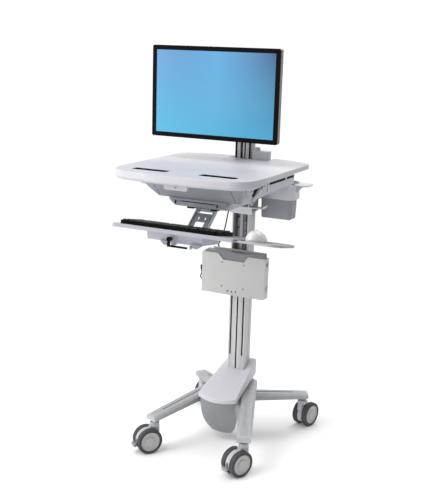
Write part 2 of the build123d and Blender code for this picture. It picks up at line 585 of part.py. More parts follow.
def build_keyboard_arm():
    track = block(-60, 60, *TRACK_Y, 977, 985.6)
    track -= block(-34, 34, TRACK_Y[0] - 1, TRACK_Y[1] + 1, 976, 982)
    nodes["arm_track"] = track
    hy, hz = ARM_HINGE
    slider = block(-33.6, 33.6, hy - 26, hy + 40, 976, 981.6)
    for side in (-1, 1):
        x0, x1 = sorted((side * 32.4, side * 28.0))
        slider += block(x0, x1, hy - 9, hy + 9, hz, 977) + pin_x(9.0, x0, x1, hy, hz)
    slider -= pin_x(4.0 + RUN_GAP, -40, 40, hy, hz)
    nodes["arm_slider"] = slider
    ty, tz = TRAY_HINGE
    ey, ez = ARM_ELBOW
    half = ARM_HALF
    plate = side_prism([(hy - 17, hz - 6), (ey + 4, ez + 8), (ey + 1, ez + 5), (hy - 20, hz - 10)],
                       -half + 4, half - 4)
    plate -= fillet(block(-17, 17, -402, -376, 850, 1000).edges().filter_by(Axis.Z), 3.0)
    for x in (-13, 13):
        plate -= block(x - 2, x + 2, -368, -358, 850, 1000)
    arm = plate
    for side in (-1, 1):
        x0, x1 = sorted((side * (half - 5), side * half))
        cheek = side_prism([(hy - 5, hz + 7), (hy + 6, hz - 7), (ey + 7, ez - 8), (ty, tz - 12),
                            (ty - 18, tz - 14), (ty - 18, tz - 8), (ty, tz + 9), (ey - 6, ez + 8)], x0, x1)
        arm += cheek + pin_x(9.0, x0, x1, hy, hz) + pin_x(12.0, x0, x1, ty, tz)
    arm += pin_x(4.0, -half, half, hy, hz) + pin_x(4.0, -half - 6, half + 6, ty, tz)
    nodes["keyboard_arm"] = arm


def build_tray():
    place = tray_place()
    ty, tz = TRAY_HINGE
    # bracket: a pan under the tray with two ears on the tilt pin
    local_pin = (ty - TRAY_FRONT[0], tz - TRAY_FRONT[1])
    a = radians(-TRAY_TILT)
    py = local_pin[0] * cos(a) - local_pin[1] * sin(a)
    pz = local_pin[0] * sin(a) + local_pin[1] * cos(a)
    under, low = -TRAY_THICK - 0.2, -TRAY_THICK - PAN_DEEP
    pan = side_prism([(26, under), (36, low), (150, low + 6), (170, under)], -106, 106)
    pan -= side_prism([(29, under + 1), (38, low + 3), (148, low + 9), (165, under + 1)], -103, 103)
    pan -= block(-ARM_HALF - 1.5, ARM_HALF + 1.5, py - 30, 175, low - 3, under + 2)
    for side in (-1, 1):
        x0, x1 = sorted((side * (ARM_HALF + 1.5), side * (ARM_HALF + 5.5)))
        pan += block(x0, x1, py - 16, py + 16, pz, under) + pin_x(13.0, x0, x1, py, pz)
    pan -= pin_x(4.0 + RUN_GAP, -60, 60, py, pz)
    pan -= pin_y(3.56, 20, 45, KNOB_X, KNOB_Z)
    nodes["tray_bracket"] = place * pan

    knob = pin_y(8.0, 10, 24, KNOB_X, KNOB_Z) + pin_y(3.5, 22, 37, KNOB_X, KNOB_Z)
    knob += block(KNOB_X - 4, KNOB_X + 4, 12, 20, KNOB_Z - 24, KNOB_Z)
    knob += fillet(block(KNOB_X - 4, 58, 12, 20, KNOB_Z - 26, KNOB_Z - 19).edges().filter_by(Axis.X), 3.0)
    nodes["tilt_knob"] = place * knob

    half, deep, thick = TRAY_HALF, TRAY_DEEP, TRAY_THICK
    tray = block(-half, half, 0, deep, -thick, 0)
    tray = fillet(tray.edges().filter_by(Axis.Z), 16.0)
    tray = fillet(tray.edges().group_by(Axis.Z)[-1], 3.0)
    tray -= block(-half + 3, half + 5, 3, deep - 3, -thick + 2.5, -3.5)
    tray -= block(half - 12, half + 5, 3, deep - 3, -thick - 1, -3.5)
    tray -= block(-ARM_HALF - 4, ARM_HALF + 4, 112, deep + 5, -thick - 1, 5)
    nodes["keyboard_tray"] = place * tray

    y0, y1, corner, rim_wide = 12, deep - 8, 46.0, 5
    shelf = block(130, MOUSE_SHELF_END, y0, y1, -thick + 3.2, -5.5)
    shelf = fillet(shelf.edges().filter_by(Axis.Z).group_by(Axis.X)[-1], corner)
    rim = block(half + 6, MOUSE_SHELF_END, y0, y1, -thick + 1.5, -3.5)
    rim = fillet(rim.edges().filter_by(Axis.Z).group_by(Axis.X)[-1], corner)
    dish = block(half + 2, MOUSE_SHELF_END - rim_wide, y0 + rim_wide, y1 - rim_wide, -5.5, 0)
    rim -= fillet(dish.edges().filter_by(Axis.Z).group_by(Axis.X)[-1], corner - rim_wide)
    nodes["mouse_shelf"] = place * (shelf + rim)

    ball = Sphere(1.0)
    mouse = Pos(276, 84, -5.5) * scale(ball, by=(34.0, 58.0, 39.0))
    mouse &= block(200, 340, 0, 160, -5.4, 60)
    nodes["mouse"] = place * mouse

    x0, x1 = KEYBOARD_X
    y0, y1 = 18.0, 18.0 + KEYBOARD_DEEP
    base = block(x0, x1, y0, y1, 0.2, KEYBOARD_BASE)
    nodes["keyboard_base"] = place * fillet(base.edges().filter_by(Axis.Z), 6.0)
    keys = []
    rows, pitch_y, pitch_x = 6, 21.5, 19.0
    count = int((x1 - x0 - 12) / pitch_x)
    for row in range(rows):
        for column in range(count):
            x, y = x0 + 6 + column * pitch_x, y0 + 6 + row * pitch_y
            keys.append(block(x, x + 16.4, y, y + 18.5, KEYBOARD_BASE + 0.2, KEYBOARD_BASE + KEY_HEIGHT))
    nodes["keycaps"] = shape_of(place * key for key in keys)


# ---------------------------------------------------------------- computer holder
def build_holder():
    x, (z0, z1), y0 = HOLDER_HALF, HOLDER_Z, HOLDER_FRONT_Y
    pan = fillet(block(-x, x, y0, y0 + HOLDER_DEEP, z0, z1).edges().filter_by(Axis.Y), 4.0)
    pan -= block(-x + 2, x - 2, y0 + 2, y0 + HOLDER_DEEP + 1, z0 + 2, z1 + 1)
    notch = [(-66, z1 + 1), (-42, z1 - 24), (46, z1 - 24), (64, z1 + 1)]
    plane = Plane(origin=(0, y0 - 1, 0), x_dir=(1, 0, 0), z_dir=(0, -1, 0))
    pan -= extrude(plane * Polygon(*notch, align=None), 6, dir=(0, 1, 0))
    for hx, hz, radius in ((-47, 718, 2.6), (46, 717, 2.6), (-47, 623, 2.6), (46, 622, 2.6),
                           (-20, 606, 3.2), (-3, 604, 3.2), (14, 606, 3.2)):
        pan -= pin_y(radius, y0 - 1, y0 + 3, hx, hz)
    pan -= fillet(block(x - 5, x + 1, y0 + 16, y0 + 23, z0 + 30, z0 + 55).edges().filter_by(Axis.X), 3.0)
    pan -= fillet(block(x - 5, x + 1, y0 + 14, y0 + 26, z1 - 34, z1 - 18).edges().filter_by(Axis.X), 3.0)
    nodes["holder_pan"] = pan
    client = block(-x + 6, x - 6, y0 + 3, y0 + 34, z0 + 4, z1 + 9)
    client = chamfer(client.edges().filter_by(Axis.Y).group_by(Axis.Z)[-1], 9.0)
    nodes["thin_client"] = client
    bracket = block(-104, 124, y0 + 38.2, y0 + 41, z0 + 8, z1 + 15)
    bracket += block(-30, 30, y0 + 40, -COLUMN_D / 2 - 0.1, 640, 720)
    nodes["holder_bracket"] = bracket


# ---------------------------------------------------------------- side bin
def build_bin():
    x0, x1 = BIN_X
    y0, y1 = BIN_Y

    def face(z, grow):
        width, depth = x1 - x0 + 2 * grow, y1 - y0 + 2 * grow
        return Pos((x0 + x1) / 2, (y0 + y1) / 2, z) * RectangleRounded(width, depth, BIN_CORNER + grow)

    body = loft([face(BIN_Z[0], -5), face(BIN_Z[1], 0)])
    body = fillet(body.edges().group_by(Axis.Z)[0], 6.0)
    body -= loft([face(BIN_Z[0] + 3, -8), face(BIN_Z[1] + 1, -2.5)])
    rim = Pos(0, 0, HOLDER_RING_Z[1] + 0.3) * extrude(face(0, 5.0), 3.0)
    rim -= Pos(0, 0, HOLDER_RING_Z[1] - 1) * extrude(face(0, -2.5), 6.0)
    neck = Pos(0, 0, BIN_Z[1] - 1) * extrude(face(0, 0), HOLDER_RING_Z[1] + 1.3 - BIN_Z[1])
    neck -= Pos(0, 0, BIN_Z[1] - 2) * extrude(face(0, -2.5), 20)
    nodes["side_bin"] = body + neck + rim
    ring = Pos(0, 0, HOLDER_RING_Z[0]) * extrude(face(0, 7.0), HOLDER_RING_Z[1] - HOLDER_RING_Z[0])
    ring -= Pos(0, 0, HOLDER_RING_Z[0] - 1) * extrude(face(0, 0.6), HOLDER_RING_Z[1])
    flange = fillet(block(x1 + 5, x1 + 62, y0 - 3, y1 + 2, HOLDER_RING_Z[1] - 5, HOLDER_RING_Z[1])
                    .edges().filter_by(Axis.Z).group_by(Axis.X)[-1], 20.0)
    plane = Plane(origin=(0, y0 + 30, 0), x_dir=(1, 0, 0), z_dir=(0, -1, 0))
    gusset = Polygon((x1 + 6, HOLDER_RING_Z[1] - 4), (x1 + 6, HOLDER_RING_Z[1] - 34),
                     (x1 + 40, HOLDER_RING_Z[1] - 4), align=None)
    flange += extrude(plane * gusset, 6, dir=(0, 1, 0))
    tongue = block(x0 + 6, x1 - 50, -30, y0 - 5, 1017.7, 1024)
    nodes["bin_holder"] = ring + flange + tongue


# ---------------------------------------------------------------- cables
DATA_CABLE_D = 5.0
POWER_CABLE_D = 5.0
DATA_ROUTE = [(-8, -112, 983.5), (-12, -111, 948), (-22, -106, 906), (-29, -108, 862), (-42, -106, 822),
              (-60, -96, 792), (-74, -72, 780), (-78, -52, 772)]
POWER_ROUTE = [(-144, -66, 662.5), (-148, -66, 652), (-154, -62, 640), (-150, -52, 629), (-138, -46, 626)]


def corner_radii(route):
    """0.45 of the shorter run divided by the tangent of half the turn, for each corner."""
    points = [Vector(*p) for p in route]
    radii = []
    for a, b, c in zip(points, points[1:], points[2:]):
        turn = (b - a).get_angle(c - b)
        shorter = min((b - a).length, (c - b).length)
        radii.append(0.45 * shorter / tan(radians(turn / 2)))
    return radii


def cable(route, diameter):
    radii = corner_radii(route)
    path = FilletPolyline(*route, radius=radii)
    start = Plane(origin=path @ 0, z_dir=path % 0)
    tube = sweep(start * Circle(diameter / 2), path=path)
    ideal = path.length * pi * diameter ** 2 / 4
    print("cable length", round(path.length, 1), "volume ratio", round(tube.volume / ideal, 4),
          "radii", [round(r, 1) for r in radii])
    return tube


def build_cables():
    nodes["data_cable"] = cable(DATA_ROUTE, DATA_CABLE_D)
    nodes["power_cable"] = cable(POWER_ROUTE, POWER_CABLE_D)
    plug = Plane(origin=(-144, -66, 664.1), z_dir=(0.06, 0, 1)) * Circle(4.5)
    head = Plane(origin=(-142.6, -66, 690), z_dir=(0.06, 0, 1)) * RectangleRounded(14.0, 18.0, 4.0)
    body = loft([plug, head]) + block(-HOLDER_HALF - 12, -HOLDER_HALF, -75, -57, 672, 690)
    body &= block(-200, -HOLDER_HALF - 0.1, -120, 0, 600, 760)
    nodes["power_plug"] = body


build_casters()
build_base()
build_cover_and_tub()
build_column()
build_riser()
build_worktop()
build_cases()
build_hook()
build_post()
build_side_block()
build_display_arm()
build_display()
build_keyboard_arm()
build_tray()
build_holder()
build_bin()
build_cables()

# ---------------------------------------------------------------- shift to the floor origin and write
whole = shape_of(nodes.values()).bounding_box()
SHIFT = (-(whole.min.X + whole.max.X) / 2, -(whole.min.Y + whole.max.Y) / 2, -whole.min.Z)
print("shift", [round(v, 3) for v in SHIFT], "size", [round(v, 1) for v in whole.size])

os.makedirs("parts", exist_ok=True)
for name, shape in nodes.items():
    moved = Pos(*SHIFT) * shape
    export_step(moved, "parts/" + name + ".step")
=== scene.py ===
import json
from math import atan2, cos, pi, radians, sin

import bmesh
import bpy
from mathutils import Matrix, Vector


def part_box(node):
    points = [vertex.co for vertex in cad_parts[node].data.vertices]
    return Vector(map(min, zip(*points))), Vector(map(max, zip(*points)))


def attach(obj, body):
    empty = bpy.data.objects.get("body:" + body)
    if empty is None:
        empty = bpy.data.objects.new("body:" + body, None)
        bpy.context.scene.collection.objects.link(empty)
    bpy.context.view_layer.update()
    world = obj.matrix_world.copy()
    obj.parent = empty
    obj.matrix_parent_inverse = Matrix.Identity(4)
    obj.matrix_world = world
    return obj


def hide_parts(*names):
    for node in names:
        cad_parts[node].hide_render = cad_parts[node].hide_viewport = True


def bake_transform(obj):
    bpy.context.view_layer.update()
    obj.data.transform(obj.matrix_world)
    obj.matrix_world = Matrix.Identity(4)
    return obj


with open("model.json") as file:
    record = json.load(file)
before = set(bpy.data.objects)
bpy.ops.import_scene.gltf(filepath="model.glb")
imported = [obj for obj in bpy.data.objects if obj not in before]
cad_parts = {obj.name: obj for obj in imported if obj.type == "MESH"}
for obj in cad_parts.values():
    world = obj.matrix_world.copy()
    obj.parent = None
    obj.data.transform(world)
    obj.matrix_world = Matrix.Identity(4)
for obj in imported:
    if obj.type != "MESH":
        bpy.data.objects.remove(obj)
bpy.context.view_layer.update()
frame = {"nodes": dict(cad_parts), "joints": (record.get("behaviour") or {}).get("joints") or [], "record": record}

# The middle of the column on the floor, in metres: routes and details are placed from it.
COLUMN_LOW, COLUMN_HIGH = (Vector(corner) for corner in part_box("column"))
AXIS = (COLUMN_LOW + COLUMN_HIGH) / 2
AXIS.z = 0.0


# ---------------------------------------------------------------- material building blocks
NOISE_LOW, NOISE_HIGH = 0.3, 0.7            # the range that most noise values lie in
EDGE_LOW, EDGE_HIGH = 0.52, 0.62            # pointiness where a worn edge starts and is full


def linear(channel):
    """sRGB 0-255 to linear."""
    value = channel / 255
    return value / 12.92 if value <= 0.04045 else ((value + 0.055) / 1.055) ** 2.4


def colour(rgb):
    return (*[linear(channel) for channel in rgb], 1.0)


def lighter(rgb, by):
    return tuple(min(255, channel + by) for channel in rgb)


class Shader:
    """A Principled material with helpers that add noise, bump and wear to it."""

    def __init__(self, name, rgb, roughness=0.5, metallic=0.0, **sockets):
        self.material = bpy.data.materials.new(name)
        self.material.use_nodes = True
        self.tree = self.material.node_tree
        self.tree.nodes.clear()
        self.output = self.add("ShaderNodeOutputMaterial")
        self.body = self.add("ShaderNodeBsdfPrincipled")
        self.link(self.body.outputs["BSDF"], self.output.inputs["Surface"])
        self.rgb = colour(rgb)
        self.body.inputs["Base Color"].default_value = self.rgb
        self.body.inputs["Roughness"].default_value = roughness
        self.body.inputs["Metallic"].default_value = metallic
        for socket, value in sockets.items():
            self.body.inputs[socket].default_value = value
        self.roughness = roughness
        self.height = None
        self.last_colour = None

    def add(self, kind, **values):
        node = self.tree.nodes.new(kind)
        for key, value in values.items():
            setattr(node, key, value)
        return node

    def link(self, source, target):
        self.tree.links.new(source, target)

    def coordinates(self, stretch=(1, 1, 1)):
        place = self.add("ShaderNodeTexCoord")
        mapping = self.add("ShaderNodeMapping")
        mapping.inputs["Scale"].default_value = stretch
        self.link(place.outputs["Object"], mapping.inputs["Vector"])
        return mapping.outputs["Vector"]

    def noise(self, scale, detail=3.0, stretch=(1, 1, 1)):
        node = self.add("ShaderNodeTexNoise")
        node.inputs["Scale"].default_value = scale
        node.inputs["Detail"].default_value = detail
        self.link(self.coordinates(stretch), node.inputs["Vector"])
        return node.outputs["Fac"]

    def spread(self, source, low, high):
        node = self.add("ShaderNodeMapRange")
        node.inputs["From Min"].default_value = NOISE_LOW
        node.inputs["From Max"].default_value = NOISE_HIGH
        node.inputs["To Min"].default_value = low
        node.inputs["To Max"].default_value = high
        self.link(source, node.inputs["Value"])
        return node.outputs["Result"]

    def vary_colour(self, scale, amount, stretch=(1, 1, 1)):
        """Light and dark patches of the base colour."""
        dark = [c * (1 - amount) for c in self.rgb[:3]]
        light = [min(1.0, c * (1 + amount)) for c in self.rgb[:3]]
        mix = self.add("ShaderNodeMix", data_type="RGBA")
        mix.inputs["A"].default_value = (*dark, 1.0)
        mix.inputs["B"].default_value = (*light, 1.0)
        self.link(self.spread(self.noise(scale, 4.0, stretch), 0, 1), mix.inputs["Factor"])
        self.last_colour = mix.outputs["Result"]
        self.link(self.last_colour, self.body.inputs["Base Color"])
        return self

    def edge_wear(self, amount, rgb):
        """Edges scuffed towards another colour; comes after vary_colour."""
        geometry = self.add("ShaderNodeNewGeometry")
        edge = self.add("ShaderNodeMapRange")
        edge.inputs["From Min"].default_value = EDGE_LOW
        edge.inputs["From Max"].default_value = EDGE_HIGH
        edge.inputs["To Max"].default_value = amount
        self.link(geometry.outputs["Pointiness"], edge.inputs["Value"])
        mix = self.add("ShaderNodeMix", data_type="RGBA")
        mix.inputs["B"].default_value = colour(rgb)
        self.link(edge.outputs["Result"], mix.inputs["Factor"])
        self.link(self.last_colour, mix.inputs["A"])
        self.last_colour = mix.outputs["Result"]
        self.link(self.last_colour, self.body.inputs["Base Color"])
        return self

    def vary_roughness(self, scale, amount, stretch=(1, 1, 1)):
        low, high = max(0.02, self.roughness - amount), min(1.0, self.roughness + amount)
        rough = self.spread(self.noise(scale, 5.0, stretch), low, high)
        self.link(rough, self.body.inputs["Roughness"])
        return self

    def bump(self, source, strength, distance):
        node = self.add("ShaderNodeBump")
        node.inputs["Strength"].default_value = strength
        node.inputs["Distance"].default_value = distance
        self.link(source, node.inputs["Height"])
        if self.height is not None:
            self.link(self.height, node.inputs["Normal"])
        self.height = node.outputs["Normal"]
        self.link(self.height, self.body.inputs["Normal"])
        return self

    def grain(self, scale, strength, distance=0.0002, stretch=(1, 1, 1)):
        return self.bump(self.noise(scale, 4.0, stretch), strength, distance)


def moulded(name, rgb, roughness=0.45, grain=1500, wear=0.25, **sockets):
    """Injection-moulded plastic: fine spark texture, faint mottling, slightly lighter edges."""
    shader = Shader(name, rgb, roughness, **sockets)
    shader.vary_colour(9, 0.035).edge_wear(wear, lighter(rgb, 22))
    shader.vary_roughness(60, 0.07).grain(grain, 0.18, 0.00012).grain(14, 0.04, 0.002)
    return shader.material


def painted(name, rgb, roughness=0.4):
    """Powder-coated steel: orange peel and small chips of brighter edge."""
    shader = Shader(name, rgb, roughness)
    shader.body.inputs["Coat Weight"].default_value = 0.15
    shader.vary_colour(14, 0.03).edge_wear(0.3, lighter(rgb, 25))
    shader.vary_roughness(90, 0.06).grain(700, 0.25, 0.00025)
    return shader.material


def extruded(name, rgb, roughness=0.36, along=(60, 60, 1), metallic=0.55):
    """Anodised aluminium extrusion with fine die lines along its length."""
    shader = Shader(name, rgb, roughness, metallic)
    shader.vary_colour(22, 0.05, along).edge_wear(0.35, (235, 235, 238))
    shader.vary_roughness(30, 0.08, along).grain(60, 0.12, 0.0001, along)
    return shader.material


def cast(name, rgb, roughness=0.5, metallic=0.5):
    """Satin cast aluminium, lightly blasted."""
    shader = Shader(name, rgb, roughness, metallic)
    shader.vary_colour(35, 0.05).edge_wear(0.3, (232, 233, 236))
    shader.vary_roughness(120, 0.08).grain(900, 0.22, 0.0002)
    return shader.material


def rubber(name, rgb, roughness=0.75):
    """Matt rubber with a mottled, grainy surface."""
    shader = Shader(name, rgb, roughness)
    shader.vary_colour(25, 0.16).edge_wear(0.3, lighter(rgb, 26))
    shader.vary_roughness(80, 0.1).grain(900, 0.35, 0.0003)
    return shader.material


SCREEN = {
    "top left": (131, 179, 233),
    "top middle": (118, 184, 236),
    "top right": (78, 104, 140),
    "low left": (104, 200, 238),
    "low right": (88, 172, 214),
    "clouds": (140, 205, 244),
}


def screen_image(name):
    """Lit display: a plain sky-blue gradient, brighter at the middle of its top, faintly clouded."""
    shader = Shader(name, (3, 4, 6), 0.2, **{"Specular IOR Level": 0.04})
    low, high = (Vector(corner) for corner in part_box("display_screen"))
    place = shader.add("ShaderNodeTexCoord")
    split = shader.add("ShaderNodeSeparateXYZ")
    shader.link(place.outputs["Object"], split.inputs["Vector"])

    def across(axis, start, end):
        node = shader.add("ShaderNodeMapRange")
        node.inputs["From Min"].default_value = start
        node.inputs["From Max"].default_value = end
        shader.link(split.outputs[axis], node.inputs["Value"])
        return node.outputs["Result"]

    def mixed(a, b, factor):
        node = shader.add("ShaderNodeMix", data_type="RGBA")
        for socket, value in (("A", a), ("B", b)):
            if isinstance(value, tuple):
                node.inputs[socket].default_value = value
            else:
                shader.link(value, node.inputs[socket])
        shader.link(factor, node.inputs["Factor"])
        return node.outputs["Result"]

    u, v = across("X", low.x, high.x), across("Z", low.z, high.z)
    centre = shader.add("ShaderNodeMath", operation="PINGPONG")
    centre.inputs[1].default_value = 0.5
    shader.link(u, centre.inputs[0])
    spread = shader.add("ShaderNodeMath", operation="MULTIPLY")
    spread.inputs[1].default_value = 2.0
    shader.link(centre.outputs[0], spread.inputs[0])
    bottom = mixed(colour(SCREEN["low left"]), colour(SCREEN["low right"]), u)
    top = mixed(colour(SCREEN["top left"]), colour(SCREEN["top right"]), u)
    top = mixed(top, colour(SCREEN["top middle"]), spread.outputs[0])
    sky = mixed(bottom, top, v)
    waves = shader.add("ShaderNodeTexNoise")
    waves.inputs["Scale"].default_value = 2.4
    waves.inputs["Detail"].default_value = 0.5
    shader.link(shader.coordinates((1.0, 1, 2.6)), waves.inputs["Vector"])
    clouds = shader.spread(waves.outputs["Fac"], 0.0, 0.12)
    glow = mixed(sky, colour(SCREEN["clouds"]), clouds)
    shader.link(glow, shader.body.inputs["Emission Color"])
    shader.body.inputs["Emission Strength"].default_value = 0.95
    shader.vary_colour(6, 0.1)
    shader.grain(2500, 0.02, 0.00002)
    return shader.material


MATERIALS = {
    "legs": cast("legs_cast_aluminium", (158, 159, 161), 0.44, 0.3),
    "cast_frame": cast("cast_frame", (120, 122, 127), 0.5, 0.35),
    "steel": cast("stem_steel", (40, 41, 43), 0.4, 0.6),
    "white_plastic": moulded("white_plastic", (195, 194, 200), 0.46),
    "grey_plastic": moulded("tub_plastic", (136, 137, 142), 0.42),
    "column": extruded("column_aluminium", (172, 172, 172), 0.5, metallic=0.12),
    "post": extruded("post_aluminium", (138, 138, 141), 0.42, metallic=0.3),
    "riser": extruded("riser_aluminium", (56, 58, 62), 0.5, metallic=0.4),
    "painted_steel": painted("painted_steel", (176, 176, 175)),
    # painted light: the keyboard arm's own copy of the painted steel, toned to make up for the shade it sits in
    # under the case
    "arm_paint": painted("keyboard_arm_paint_shade_offset", (164, 169, 178)),
    "client_plastic": moulded("computer_plastic", (112, 113, 116), 0.5),
    "black_plastic": moulded("black_plastic", (10, 9, 9), 0.5, wear=0.0,
                             **{"Specular IOR Level": 0.06}),
    "keycap_plastic": moulded("keycap_plastic", (20, 20, 22), 0.5, wear=0.15,
                              **{"Specular IOR Level": 0.3}),
    "cable": rubber("cable_jacket", (22, 22, 24), 0.55),
    "fork_plastic": moulded("fork_plastic", (172, 173, 176), 0.4),
    "tyre": rubber("tyre_rubber", (66, 66, 71)),
    "wheel_hub": moulded("wheel_hub_plastic", (178, 179, 176), 0.4),
    "pedal_plastic": moulded("pedal_plastic", (140, 141, 144), 0.42),
    "case_plastic": moulded("case_plastic", (164, 167, 176), 0.5),
    "light_plastic": moulded("light_plastic", (198, 200, 206), 0.46),
    "tray_plastic": moulded("tray_plastic", (163, 163, 170), 0.46),
    "bin_plastic": moulded("bin_plastic", (142, 143, 149), 0.5),
    # painted light: a lighter copy of the painted steel for the bin's holder ring, standing in for light on its
    # shaded inner wall
    "bin_holder": painted("bin_holder_paint_lit_copy", (200, 202, 208)),
    "lock_metal": cast("lock_metal", (150, 150, 150), 0.32, 0.8),
    "arm_metal": painted("arm_paint_dark", (90, 91, 93), 0.4),
    "display_casing": moulded("display_casing", (128, 128, 130), 0.42),
    "screen": screen_image("lit_screen"),
    "mouse_plastic": moulded("mouse_plastic", (224, 225, 223), 0.3, 2200, 0.1),
}
SLOT_OF = {part["node"]: part["material_slot"] for part in frame["record"]["subparts"]}


SHARP_ANGLE = radians(32)                   # folds above this are shaded sharp
BEVEL_ANGLE = radians(35)                   # folds above this are bevelled
BEVEL_SEGMENTS = 2


def smooth_by_angle(mesh):
    mesh.shade_smooth()
    mesh.set_sharp_from_angle(angle=SHARP_ANGLE)


def dress_nodes():
    """Every CAD node keeps its own mesh and takes the material of its slot."""
    for name, node in frame["nodes"].items():
        node.data.materials.clear()
        node.data.materials.append(MATERIALS[SLOT_OF[name]])
        smooth_by_angle(node.data)


# ---------------------------------------------------------------- mesh helpers
def object_from(bm, name, material, bevel=0.0):
    """A closed piece in its slot's material, with its edges bevelled where asked."""
    bmesh.ops.recalc_face_normals(bm, faces=bm.faces)
    mesh = bpy.data.meshes.new(name)
    bm.to_mesh(mesh)
    bm.free()
    piece = bpy.data.objects.new(name, mesh)
    bpy.context.scene.collection.objects.link(piece)
    mesh.materials.append(MATERIALS[material])
    if bevel:
        modifier = piece.modifiers.new("edges", "BEVEL")
        modifier.width = bevel
        modifier.segments = BEVEL_SEGMENTS
        modifier.limit_method = "ANGLE"
        modifier.angle_limit = BEVEL_ANGLE
    smooth_by_angle(mesh)
    return piece


def ring_of(bm, profile, place, steps, close=True):
    """Turn an outline of (along, radius) points about place's X axis."""
    rings = []
    for step in range(steps):
        turn = 2 * pi * step / steps
        spots = [Vector((a, r * cos(turn), r * sin(turn))) for a, r in profile]
        rings.append([bm.verts.new(place @ spot) for spot in spots])
    last = len(profile) if close else len(profile) - 1
    for step in range(steps):
        here, after = rings[step], rings[(step + 1) % steps]
        for i in range(last):
            j = (i + 1) % len(profile)
            bm.faces.new((here[i], here[j], after[j], after[i]))


def arc(centre, radius, start, end, count):
    """Points of a circle between two angles in degrees."""
    points = []
    for step in range(count + 1):
        angle = radians(start + (end - start) * step / count)
        points.append((centre[0] + radius * cos(angle), centre[1] + radius * sin(angle)))
    return points


# ---------------------------------------------------------------- stage and camera
CAMERA_FROM_AXIS = Vector((1.40218, -3.12810, 1.57251))
CAMERA_AZIMUTH = radians(26.141)
CAMERA_ELEVATION = radians(13.458)
CAMERA_ROLL = radians(1.656)
FOCAL_TO_HEIGHT = 1.7745
SENSOR = 36.0


def make_camera():
    """The photo's camera, solved from its upright and level edges."""
    az, el, roll = CAMERA_AZIMUTH, CAMERA_ELEVATION, CAMERA_ROLL
    back = Vector((sin(az) * cos(el), -cos(az) * cos(el), sin(el)))
    right = Vector((cos(az), sin(az), 0))
    up = back.cross(right)
    across = right * cos(roll) + up * sin(roll)
    upward = up * cos(roll) - right * sin(roll)
    data = bpy.data.cameras.new("camera")
    data.sensor_width = SENSOR
    data.lens = SENSOR * FOCAL_TO_HEIGHT
    camera = bpy.data.objects.new("camera", data)
    turn = Matrix((across, upward, back)).transposed().to_4x4()
    camera.matrix_world = Matrix.Translation(AXIS + CAMERA_FROM_AXIS) @ turn
    bpy.context.scene.collection.objects.link(camera)
    bpy.context.scene.camera = camera


LIGHTS = [    # name, place, target, size and watts
    ("key", (-1.8, -2.4, 4.0), (0, 0, 0.8), (2.6, 2.6), 100),
    ("front", (-3.2, -2.7, 0.9), (0, 0, 0.7), (2.0, 1.4), 42),
    ("rim", (0.2, 2.8, 3.2), (0, 0, 0.9), (2.5, 1.5), 40),
]
BRIGHT_SIDE = (-0.84, 0.36, 0.4)            # the world is brightest towards here
BRIGHT_FROM, BRIGHT_TO = -0.9, 0.34         # how far towards it the gradient runs
DIM, BRIGHT = 0.2, 1.02                     # the world's strength at its two ends
FLOOR_HALF = 2.6


def soft_light(name, place, target, size, power):
    data = bpy.data.lights.new(name, "AREA")
    data.shape = "RECTANGLE"
    data.size, data.size_y = size
    data.energy = power
    light = bpy.data.objects.new(name, data)
    light.location = place
    light.rotation_euler = (Vector(target) - Vector(place)).to_track_quat("-Z", "Y").to_euler()
    bpy.context.scene.collection.objects.link(light)


def make_world():
    """Plain white behind the cart as the camera sees it, dimming towards its right and front."""
    world = bpy.data.worlds.new("studio")
    world.use_nodes = True
    tree = world.node_tree
    place = tree.nodes.new("ShaderNodeTexCoord")
    toward = tree.nodes.new("ShaderNodeVectorMath")
    toward.operation = "DOT_PRODUCT"
    toward.inputs[1].default_value = Vector(BRIGHT_SIDE).normalized()
    bright = tree.nodes.new("ShaderNodeMapRange")
    bright.inputs["From Min"].default_value = BRIGHT_FROM
    bright.inputs["From Max"].default_value = BRIGHT_TO
    bright.inputs["To Min"].default_value = DIM
    bright.inputs["To Max"].default_value = BRIGHT
    tree.links.new(place.outputs["Generated"], toward.inputs[0])
    tree.links.new(toward.outputs["Value"], bright.inputs["Value"])
    background = tree.nodes["Background"]
    background.inputs["Color"].default_value = (1, 1, 1, 1)
    tree.links.new(bright.outputs["Result"], background.inputs["Strength"])
    bpy.context.scene.world = world


def make_stage():
    """White floor, world and three soft lights."""
    shader = Shader("floor_paint", (253, 253, 253), 0.95)
    shader.vary_colour(3, 0.005)
    shader.grain(40, 0.03, 0.0005)
    bm = bmesh.new()
    bmesh.ops.create_grid(bm, x_segments=8, y_segments=8, size=FLOOR_HALF)
    mesh = bpy.data.meshes.new("floor")
    bm.to_mesh(mesh)
    bm.free()
    mesh.materials.append(shader.material)
    floor = bpy.data.objects.new("floor", mesh)
    bpy.context.scene.collection.objects.link(floor)
    make_world()
    bpy.context.scene.view_settings.view_transform = "Standard"
    for light in LIGHTS:
        soft_light(*light)


# ---------------------------------------------------------------- casters
WHEEL_R = 0.050
HUB_R = 0.038
WHEEL_OFFSET = 0.0225                       # from the caster's middle to each wheel's
TYRE_HALF, TYRE_EDGE = 0.011, 0.0045        # half the tyre's width, and its shoulder's radius
TYRE_STEPS, HUB_STEPS = 96, 72


def wheel_places(corner):
    """The two wheels' middles and their outward axle direction."""
    joint = next(j for j in frame["joints"] if j["name"] == corner + "_wheel_roll")
    axle = Vector(joint["axis"]).normalized()
    middle = Vector(joint["pos_m"])
    return [(middle + axle * side * WHEEL_OFFSET, axle * side) for side in (-1, 1)]


def frame_along(direction, origin):
    """A matrix whose X axis is the direction, Z stays up."""
    x = direction.normalized()
    z = Vector((0, 0, 1))
    y = z.cross(x).normalized()
    return Matrix.Translation(origin) @ Matrix((x, y, x.cross(y))).transposed().to_4x4()


